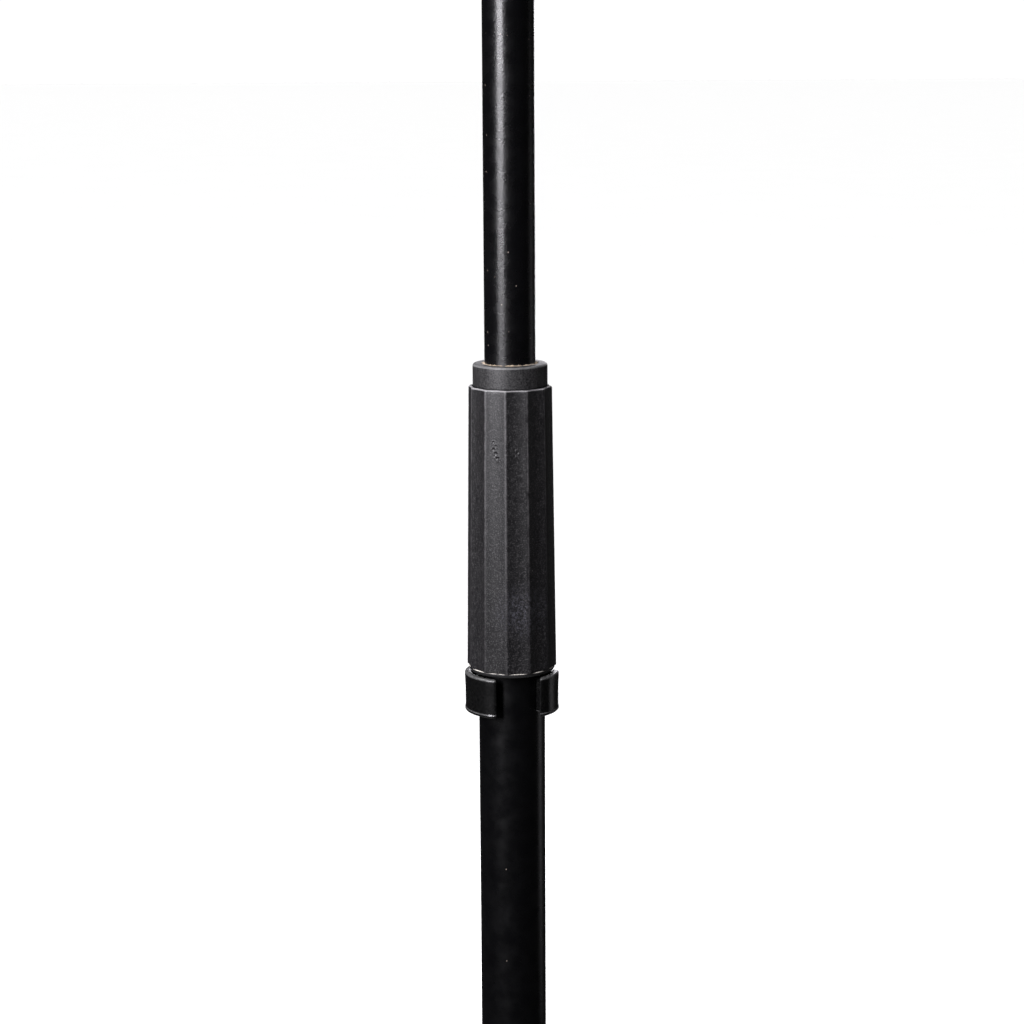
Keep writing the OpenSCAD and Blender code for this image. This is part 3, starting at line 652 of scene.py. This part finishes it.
def make_clip():
    """Beaded C-ring swept round the tube, with arms drawn in at their ends, and three ribs inside.

    The rim is lower from the right side round to the back, by the relief.
    """
    low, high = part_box("snap_clip")
    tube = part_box("lower_tube")[1].x
    outer = high.x
    wall = 2.4 * MM
    inner = outer - wall
    middle = math.radians(-81.5)
    half_open = math.radians(27.5)
    relief, relief_from, relief_to = 2.2 * MM, math.radians(8), math.radians(120)
    relief_slope = 7 * MM
    end_r, corner_r = wall / 2, 1.2 * MM
    draw_in, draw_length = 0.7 * MM, 5.5 * MM
    start, end = middle + half_open, middle + 2 * math.pi - half_open

    def section(inset_top, inset_low, thin, drawn):
        """Outline of the wall from (distance from its middle, height), beaded at the top and the bottom."""
        z0, z1 = low.z + inset_low, high.z - inset_top
        out = wall / 2 - drawn
        waist = out - 0.20 * MM
        points = [(-wall / 2, z0, 0.4 * MM), (out - 0.25 * MM, z0, 0.1 * MM),
                  (out, z0 + 0.25 * MM, 0.1 * MM), (out, z0 + 0.9 * MM, 0.15 * MM),
                  (waist, z0 + 1.3 * MM, 0.15 * MM),
                  (waist, z1 - 6.0 * MM, 1.5 * MM), (out, z1 - 2.0 * MM, 1.5 * MM),
                  (out, z1, 1.1 * MM), (-wall / 2, z1, 0.7 * MM)]
        return [((outer + inner) / 2 + p.x * thin, p.y) for p in fillet(points, 0, 5)]

    def parallel(angle, radius):
        """Turns a point of the wall so that both sides of the opening run straight to the front."""
        share = (angle - start) / (end - start)
        near = 1 - 2 * min(share, 1 - share)
        side = start if share < 0.5 else end
        away = math.pi / 2 + math.remainder(side, 2 * math.pi)
        shift = math.asin(math.sin(away) * outer / radius) - away
        return angle + shift * near ** 4

    stations = []
    count = 260
    for k in range(count + 1):
        angle = start + (end - start) * (0.5 - 0.5 * math.cos(math.pi * k / count))
        arc = min(angle - start, end - angle) * outer
        thin = math.sqrt(max(0.0004, 1 - max(0.0, 1 - arc / end_r) ** 2))
        corner = corner_r * (1 - math.sqrt(max(0.0, 1 - max(0.0, 1 - arc / corner_r) ** 2)))
        inside = min(angle - relief_from, relief_to - angle) * outer
        drop = min(1.0, max(0.0, inside / relief_slope + 0.5))
        drop = relief * drop * drop * (3 - 2 * drop)
        drawn = draw_in * max(0.0, 1 - arc / draw_length) ** 2
        stations.append((angle, section(corner + drop, corner, thin, drawn)))
    bm = bmesh.new()
    rows = []
    for angle, outline in stations:
        row = []
        for r, z in outline:
            a = parallel(angle, r)
            row.append(bm.verts.new((r * math.cos(a), r * math.sin(a), z)))
        rows.append(row)
    grid_faces(bm, rows)
    bm.faces.new(rows[0])
    bm.faces.new(rows[-1])
    rib_in, rib_out = tube + 0.06 * MM, inner + 0.5 * MM
    rib_width, rib_inset = 2 * MM, 0.9 * MM
    for degrees, top in ((-40, high.z), (-160, high.z), (75, high.z - relief)):
        rib = bmesh.ops.create_cube(bm, size=1)["verts"]
        size = Vector((rib_out - rib_in, rib_width, top - low.z - 2 * rib_inset))
        centre = Vector(((rib_in + rib_out) / 2, 0, (low.z + top) / 2))
        bmesh.ops.scale(bm, vec=size, verts=rib)
        bmesh.ops.translate(bm, vec=centre, verts=rib)
        bmesh.ops.rotate(bm, matrix=Matrix.Rotation(math.radians(degrees), 3, "Z"), verts=rib)
        lines = list({edge for v in rib for edge in v.link_edges})
        bmesh.ops.bevel(bm, geom=lines, offset=0.35 * MM, segments=3, affect="EDGES", profile=0.5)
    return add_piece("clip_ring", bm, clip_skin, "clip", ["snap_clip"])


# ---------- tripod ----------

def leg_place(i):
    """The frame of a leg: the collar pivot is the origin and +X runs down the leg."""
    pin_low, pin_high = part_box("collar_pins")
    spread = math.radians(90 - LEG_SPREAD)
    pivot = Vector((PIVOT_R, 0, (pin_low.z + pin_high.z) / 2))
    return (Matrix.Rotation(math.radians(LEG_ANGLES[i]), 4, "Z") @ Matrix.Translation(pivot)
            @ Matrix.Rotation(spread, 4, "Y"))


def leg_end(i):
    """How far down the leg its tube ends, in the leg's own frame."""
    place = leg_place(i).inverted()
    corners = [v.co for v in nodes[f"leg_{i + 1}"].data.vertices]
    return max((place @ Vector(c)).x for c in corners)


def make_leg(i):
    """Rectangular tube with rounded corners."""
    outer = round_box(LEG_WIDTH, LEG_DEPTH, 2.6 * MM)
    inner = round_box(LEG_WIDTH - 2 * LEG_WALL, LEG_DEPTH - 2 * LEG_WALL, 1.4 * MM)
    along = Matrix(((0, 0, 1, 0), (1, 0, 0, 0), (0, 1, 0, 0), (0, 0, 0, 1)))
    stations = [Matrix.Translation((x, 0, 0)) @ along for x in (14 * MM, leg_end(i))]
    bm = bmesh.new()
    sleeve(bm, outer, inner, stations)
    return add_piece(f"leg_tube_{i + 1}", bm, sheet_paint, f"leg_set_{i + 1}",
                     [f"leg_{i + 1}"], leg_place(i))


def superellipse(a, b, power, count):
    """Points round a shape between an ellipse, at power 2, and a rectangle."""
    points = []
    for k in range(count):
        angle = 2 * math.pi * k / count
        c, s = math.cos(angle), math.sin(angle)
        points.append(Vector((a * math.copysign(abs(c) ** (2 / power), c),
                              b * math.copysign(abs(s) ** (2 / power), s), 0)))
    return points


def make_foot(i):
    """Ribbed rubber shoe that turns from the leg's section to a round sole on the floor."""
    end = leg_end(i)
    place = leg_place(i)
    around = math.radians(LEG_ANGLES[i])
    out = Vector((math.cos(around), math.sin(around), 0))
    side = Vector((-math.sin(around), math.cos(around), 0))
    foot_r = 12 * MM
    wall = 2 * MM
    leg_line_height = 8 * MM
    run = (place.translation.z - leg_line_height) * math.tan(math.radians(LEG_SPREAD))
    sole = out * (PIVOT_R + run)
    top = place @ Vector((end - 26 * MM, 0, 0))
    knee = place @ Vector((end - 2 * MM, 0, 0))
    down_leg = (place.to_3x3() @ Vector((1, 0, 0))).normalized()
    rows = []
    bm = bmesh.new()
    count, steps = 48, 30
    turn_from = 0.45
    ribs, rib_depth = 9, 0.5 * MM
    for k in range(steps + 1):
        t = k / steps
        turn = max(0.0, (t - turn_from) / (1 - turn_from))
        turn = turn * turn * (3 - 2 * turn)
        centre = (1 - t) ** 2 * top + 2 * t * (1 - t) * knee + t * t * sole
        heading = (down_leg * (1 - turn) + Vector((0, 0, -1)) * turn).normalized()
        across = side.cross(heading).normalized()
        rib = rib_depth * max(0.0, math.sin(2 * math.pi * t * ribs)) if 0.08 < t < 0.42 else 0.0
        rim = 0.8 * MM * (max(0.0, 1 - t / 0.03) + max(0.0, 1 - (1 - t) / 0.03))
        a = (LEG_WIDTH / 2 + wall) * (1 - turn) + foot_r * turn - rib - rim
        b = (LEG_DEPTH / 2 + wall) * (1 - turn) + foot_r * turn - rib - rim
        outline = superellipse(a, b, 5 - 3 * turn, count)
        rows.append([bm.verts.new(centre + side * p.x + across * p.y) for p in outline])
    for row in rows:
        for v in row:
            v.co.z = max(v.co.z, 0.0)
    grid_faces(bm, rows)
    bm.faces.new(rows[0])
    bm.faces.new(rows[-1])
    return add_piece(f"rubber_foot_{i + 1}", bm, rubber, f"leg_set_{i + 1}",
                     [f"leg_foot_{i + 1}"])


# ---------- knobs, bolts and screws ----------

def make_knob(name, node, body, radius, height, lobes, place):
    """Moulded knob with rounded lobes, a stepped neck and a dished face with a raised boss."""
    steps = 5
    boss_top = height - 0.4 * MM
    outline = fillet([
        (0.0, 0.0), (0.55 * radius, 0.0), (0.72 * radius, 0.06 * height), (0.97 * radius, 0.30 * height),
        (radius, 0.42 * height), (radius, height - 0.1 * radius), (0.88 * radius, height),
        (0.66 * radius, height), (0.60 * radius, height - 1.2 * MM), (0.34 * radius, height - 1.2 * MM),
        (0.28 * radius, boss_top), (0.0, boss_top)], 1.5 * MM, steps)
    # the first and the last corner lie on the axis, so they stay sharp
    rounded = [(max(p.x, 0.02 * MM), p.y) for p in outline[steps:-steps]]
    outline = [(0.0, 0.0)] + rounded + [(0.0, boss_top)]
    cut_r = 0.42 * radius
    axis_r = 1.26 * radius

    def lobed(r, angle, z):
        share = min(1.0, max(0.0, (r / radius - 0.6) / 0.3))
        left = scoop(radius, angle, lobes, axis_r, cut_r, 1.2 * MM) / radius
        return r * (1 - share * (1 - left)), z

    bm = bmesh.new()
    turned(bm, outline, 28 * lobes, lobed)
    return add_piece(name, bm, nylon, body, [node], place, 50)


def dome(radius, height, rim, steps=8):
    """The outline of a domed head from its rim to its tip, with a low straight rim."""
    points = [(radius - 0.15 * rim, 0.0), (radius, 0.3 * rim)]
    for k in range(steps + 1):
        angle = math.pi / 2 * k / steps
        points.append((radius * math.cos(angle), rim + (height - rim) * math.sin(angle)))
    return points


def rivet(bm, length, shaft_r, head_r, head_h):
    """A rivet along Z, centred on zero, with a domed head at each end."""
    head = dome(head_r, head_h, 0.3 * head_h)
    under = length / 2 - head_h
    outline = [(shaft_r, under - 0.05 * MM)] + [(r, under + h) for r, h in head]
    turned(bm, [(r, -z) for r, z in reversed(outline)] + outline, 40)


def make_rivets():
    """Domed rivets at the pivots of the legs and braces and along the ledge, one piece for each node."""
    for i in range(3):
        frame_i = Matrix.Rotation(math.radians(LEG_ANGLES[i]), 4, "Z")
        lie = Matrix.Rotation(math.pi / 2, 4, "X")
        bm = bmesh.new()
        for low, high in solids(f"brace_rivets_{i + 1}", frame_i):
            part = bmesh.new()
            rivet(part, high.y - low.y, PIN_R, RIVET_HEAD_R, RIVET_HEAD_H)
            merge(bm, part, Matrix.Translation((low + high) / 2) @ lie)
        add_piece(f"brace_rivet_pair_{i + 1}", bm, steel, f"brace_pair_{i + 1}",
                  [f"brace_rivets_{i + 1}"], frame_i)
    bm = bmesh.new()
    for i in range(3):
        frame_i = Matrix.Rotation(math.radians(LEG_ANGLES[i]), 4, "Z")
        lie = Matrix.Rotation(math.pi / 2, 4, "X")
        low, high = max(solids("collar_pins", frame_i), key=lambda box: box[0].x)
        part = bmesh.new()
        rivet(part, high.y - low.y, PIN_R, RIVET_HEAD_R, RIVET_HEAD_H)
        merge(bm, part, frame_i @ Matrix.Translation((low + high) / 2) @ lie)
    add_piece("collar_pivot_pins", bm, steel, "collar", ["collar_pins"])
    bm = bmesh.new()
    for low, high in solids("ledge_rivets", desk_place()):
        part = bmesh.new()
        rivet(part, high.y - low.y, 2.2 * MM, (high.x - low.x) / 2, 1.2 * MM)
        merge(bm, part, Matrix.Translation((low + high) / 2) @ Matrix.Rotation(math.pi / 2, 4, "X"))
    add_piece("ledge_rivet_row", bm, steel, "desk", ["ledge_rivets"], desk_place())


def make_bracket_screws():
    """Screws with domed heads and a cross recess on the desk's face, and threads behind it."""
    arm, half_slot, slot_depth = 2.6 * MM, 0.55 * MM, 1.3 * MM

    def recessed(radius, angle, z):
        x, y = abs(radius * math.cos(angle)), abs(radius * math.sin(angle))
        along, across = max(x, y), min(x, y)
        inside = min(1.0, max(0.0, (half_slot - across) / (0.2 * MM) + 0.5))
        inside *= min(1.0, max(0.0, (arm - along) / (0.5 * MM) + 0.5))
        return radius, z - slot_depth * inside * min(1.0, max(0.0, z / (0.5 * MM)))

    bm = bmesh.new()
    for low, high in solids("bracket_screws", desk_place()):
        head_r, head_h = (high.x - low.x) / 2, 2 * MM
        front = Vector(((low.x + high.x) / 2, low.y + head_h, (low.z + high.z) / 2))
        part = bmesh.new()
        rim = 0.6 * MM
        outline = [(0.0, 0.0), (head_r - 0.1 * MM, 0.0), (head_r, 0.15 * MM), (head_r, rim)]
        rings = 34
        for k in range(1, rings):
            r = head_r * (1 - k / rings)
            outline.append((r, rim + (head_h - rim) * math.sqrt(1 - (r / head_r) ** 2)))
        outline.append((0.0, head_h - slot_depth))
        turned(part, outline, 96, recessed)
        merge(bm, part, Matrix.Translation(front) @ Matrix.Rotation(math.pi / 2, 4, "X"))
        part = bmesh.new()
        threaded(part, 2.5 * MM, high.y - front.y, 0.8 * MM, 32)
        merge(bm, part, Matrix.Translation(front) @ Matrix.Rotation(-math.pi / 2, 4, "X"))
    add_piece("bracket_screw_set", bm, steel, "desk", ["bracket_screws"], desk_place(), 40)


def threaded(bm, radius, length, pitch, steps=40):
    """A rod along +Z from the origin with a helical thread and chamfered ends."""
    per_turn = 8
    count = max(4, round(length / pitch * per_turn))
    rows = []
    for k in range(count + 1):
        z = length * k / count
        edge = min(z, length - z)
        row = []
        for i in range(steps):
            turn = i / steps
            wave = abs(((z / pitch - turn) % 1) * 2 - 1)
            r = radius - 0.6 * pitch * min(1.0, 1.25 * wave)
            r = min(r, radius - 0.7 * pitch + edge)
            angle = 2 * math.pi * turn
            row.append(bm.verts.new((r * math.cos(angle), r * math.sin(angle), z)))
        rows.append(row)
    grid_faces(bm, rows)
    bm.faces.new(rows[0])
    bm.faces.new(rows[-1])


def make_threaded_rods():
    """The tilt bolt and the collar's stud, both threaded over their whole length."""
    for name, node, body, axis in (("tilt_bolt_thread", "tilt_bolt", "tilt_screw", "Y"),
                                   ("collar_stud_thread", "collar_knob_stud", "collar_screw", "X")):
        turn = Matrix.Rotation(math.pi / 2, 4, axis)
        low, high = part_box(node)
        size = high - low
        length = max(size)
        radius = sorted(size)[0] / 2
        start = (low + high) / 2 - (turn @ Vector((0, 0, length / 2)))
        bm = bmesh.new()
        threaded(bm, radius, length, 1.25 * MM)
        add_piece(name, bm, steel, body, [node], Matrix.Translation(start) @ turn)


# ---------- desk ----------

def desk_place():
    """The frame of the desk: the tilt pivot is the origin and +Z runs up the sheet."""
    low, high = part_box("tilt_bolt")
    return (Matrix.Translation((0, 0, (low.z + high.z) / 2))
            @ Matrix.Rotation(math.radians(-DESK_LEAN), 4, "X"))


def make_ledge():
    """Bent sheet for the music: flange, shelf and front lip, with real bends and round corners."""
    (low, high), = solids("desk_ledge", desk_place())
    thick = 1.5 * MM
    lip = 14 * MM
    corner = 7 * MM
    outer_bend, inner_bend, burr = 2.6 * MM, 1.1 * MM, 0.4 * MM
    half = high.x
    bm = bmesh.new()
    rows = []
    steps = 10
    ends = [half - corner + corner * math.sin(math.pi / 2 * k / steps) for k in range(steps + 1)]
    for x in [-x for x in reversed(ends)] + ends:
        into = max(0.0, abs(x) - (half - corner))
        cut = corner - math.sqrt(max(0.0, corner ** 2 - into ** 2))
        cut = min(cut, corner - 0.3 * MM)
        profile = [(high.y, high.z - cut, burr), (high.y, low.z, outer_bend), (low.y, low.z, outer_bend),
                   (low.y, low.z + lip - cut, burr), (low.y + thick, low.z + lip - cut, burr),
                   (low.y + thick, low.z + thick, inner_bend), (high.y - thick, low.z + thick, inner_bend),
                   (high.y - thick, high.z - cut, burr)]
        rows.append([bm.verts.new((x, p.x, p.y)) for p in fillet(profile, 0, 6)])
    grid_faces(bm, rows)
    bm.faces.new(rows[0])
    bm.faces.new(rows[-1])
    return add_piece("music_ledge", bm, sheet_paint, "desk", ["desk_ledge"],
                     desk_place(), 40)


# ---------- the rest of the stand keeps its CAD shapes, with soft edges ----------

# material, bevel width in mm and nodes
SOFT_EDGES = (
    (upper_paint, 0.25, ("upper_tube",)),
    (lower_paint, 0.25, ("lower_tube",)),
    (sheet_paint, 0.4, ("brace_1", "brace_2", "brace_3", "desk_plate")),
    (sheet_paint, 0.8, ("desk_bracket",)),
    (nylon, 0.9, ("base_hub", "slider_collar", "tilt_head",
                  "leg_knuckle_1", "leg_knuckle_2", "leg_knuckle_3")),
    (nylon, 0.3, ("tube_plug", "clutch_body", "cam_sleeve", "upper_tube_plug")),
    (acetal, 0.2, ("collet", "wedge_ring", "collar_liner", "glide_bush")),
    (steel, 0.5, ("hub_pin", "head_rivet")),
    (steel, 0.35, ("tilt_nut", "bracket_nuts", "tilt_washer", "bush_snap_ring")),
    (fibre, 0.15, ("friction_washers",)),
)


def finish_cad_nodes():
    for material, width, names in SOFT_EDGES:
        for name in names:
            soften(name, material, width * MM)


# ---------- studio ----------

def make_floor():
    bm = bmesh.new()
    bmesh.ops.create_grid(bm, x_segments=2, y_segments=2, size=60)
    mesh = bpy.data.meshes.new("studio_floor")
    bm.to_mesh(mesh)
    bm.free()
    floor = bpy.data.objects.new("studio_floor", mesh)
    scene.collection.objects.link(floor)
    look = Look("studio_paper", 0.9)
    paper = look.noise(0.4, 2)
    look.set("Base Color", look.mix(paper, (0.84, 0.84, 0.84), (0.86, 0.86, 0.86)))
    mesh.materials.append(look.material)
    floor.visible_glossy = False
    floor.visible_diffuse = False


def softbox(name, azimuth, distance, height, width, tall, radiance, aim=None):
    """A slightly cool rectangular light that faces the column, level or at a height to aim at.

    Azimuth 0 is on the player's side and 90 on +X.
    """
    data = bpy.data.lights.new(name, "AREA")
    data.shape = "RECTANGLE"
    data.size = width
    data.size_y = tall
    data.energy = radiance * math.pi * width * tall
    data.color = (1.0, 0.98, 1.03)
    around = math.radians(azimuth)
    light = bpy.data.objects.new(name, data)
    light.location = (distance * math.sin(around), -distance * math.cos(around), height)
    towards = Vector((0, 0, height if aim is None else aim)) - light.location
    light.rotation_euler = towards.to_track_quat("-Z", "Y").to_euler()
    light.visible_camera = False
    scene.collection.objects.link(light)


def make_lights():
    """A key from the left, one high in front, a faint edge light, one behind, one above, and a wide sky."""
    softbox("key", -38.5, 1.3, 1.22, 0.28, 0.76, 50)
    softbox("front_top", -4, 1.1, 1.85, 1.3, 0.22, 2.2, 0.72)
    softbox("edge", 115, 1.4, 0.40, 0.40, 0.8, 0.4)
    softbox("behind", 172, 1.8, 0.80, 0.50, 1.2, 4)
    softbox("above", 180, 0.8, 2.3, 1.0, 1.0, 10, 0.75)
    data = bpy.data.lights.new("sky", "SUN")
    data.energy = 4.0
    data.angle = math.radians(60)
    sky = bpy.data.objects.new("sky", data)
    sky.rotation_euler = (0, math.radians(-20), 0)
    scene.collection.objects.link(sky)


def make_world():
    """White behind everything, dim in the light and the reflections, and paler from straight below."""
    seen, reflected, lit, below = 1.05, 0.015, 0.035, 0.45
    world = bpy.data.worlds.new("studio")
    world.use_nodes = True
    scene.world = world
    tree = world.node_tree
    back = tree.nodes["Background"]
    back.inputs["Color"].default_value = (1, 1, 1, 1)
    direction = tree.nodes.new("ShaderNodeTexCoord").outputs["Generated"]
    upward = tree.nodes.new("ShaderNodeSeparateXYZ")
    tree.links.new(direction, upward.inputs[0])
    under = tree.nodes.new("ShaderNodeMapRange")
    under.interpolation_type = "SMOOTHSTEP"
    tree.links.new(upward.outputs[2], under.inputs["Value"])
    for socket, value in (("From Min", -0.55), ("From Max", -0.95), ("To Min", lit), ("To Max", below)):
        under.inputs[socket].default_value = value
    rays = tree.nodes.new("ShaderNodeLightPath")
    strength = under.outputs["Result"]
    for ray, change in (("Is Glossy Ray", reflected - lit), ("Is Camera Ray", seen - lit)):
        step = tree.nodes.new("ShaderNodeMath")
        step.operation = "MULTIPLY_ADD"
        step.inputs[1].default_value = change
        tree.links.new(rays.outputs[ray], step.inputs[0])
        tree.links.new(strength, step.inputs[2])
        strength = step.outputs[0]
    tree.links.new(strength, back.inputs["Strength"])


def make_camera():
    """Looks down at the clutch from the player's side."""
    data = bpy.data.cameras.new("camera")
    data.sensor_width = 36
    data.lens = 84.375
    data.clip_start = 0.05
    data.clip_end = 200
    camera = bpy.data.objects.new("camera", data)
    pitch, roll = 11.0, -0.34
    camera.matrix_world = (Matrix.Translation((0.0004, -0.8817, 0.8725))
                           @ Matrix.Rotation(math.radians(90 - pitch), 4, "X")
                           @ Matrix.Rotation(math.radians(roll), 4, "Z"))
    scene.collection.objects.link(camera)
    scene.camera = camera


make_camera()
make_world()
make_lights()
make_floor()
make_grip()
make_lip()
make_cap()
make_felt()
make_felt_fibres()
make_clip()
for leg in range(3):
    make_leg(leg)
    make_foot(leg)
tilt_knob_low, tilt_knob_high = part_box("tilt_knob")
make_knob("tilt_knob_moulding", "tilt_knob", "tilt_screw", 19 * MM,
          tilt_knob_high.x - tilt_knob_low.x, 7,
          Matrix.Translation((tilt_knob_low.x, 0, (tilt_knob_low.z + tilt_knob_high.z) / 2))
          @ Matrix.Rotation(math.pi / 2, 4, "Y"))
collar_knob_low, collar_knob_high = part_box("collar_knob")
make_knob("collar_knob_moulding", "collar_knob", "collar_screw", 14 * MM,
          collar_knob_high.y - collar_knob_low.y, 6,
          Matrix.Translation((0, collar_knob_high.y, (collar_knob_low.z + collar_knob_high.z) / 2))
          @ Matrix.Rotation(math.pi / 2, 4, "X"))
make_threaded_rods()
make_rivets()
make_bracket_screws()
make_ledge()
finish_cad_nodes()
scene.view_settings.view_transform = "Standard"
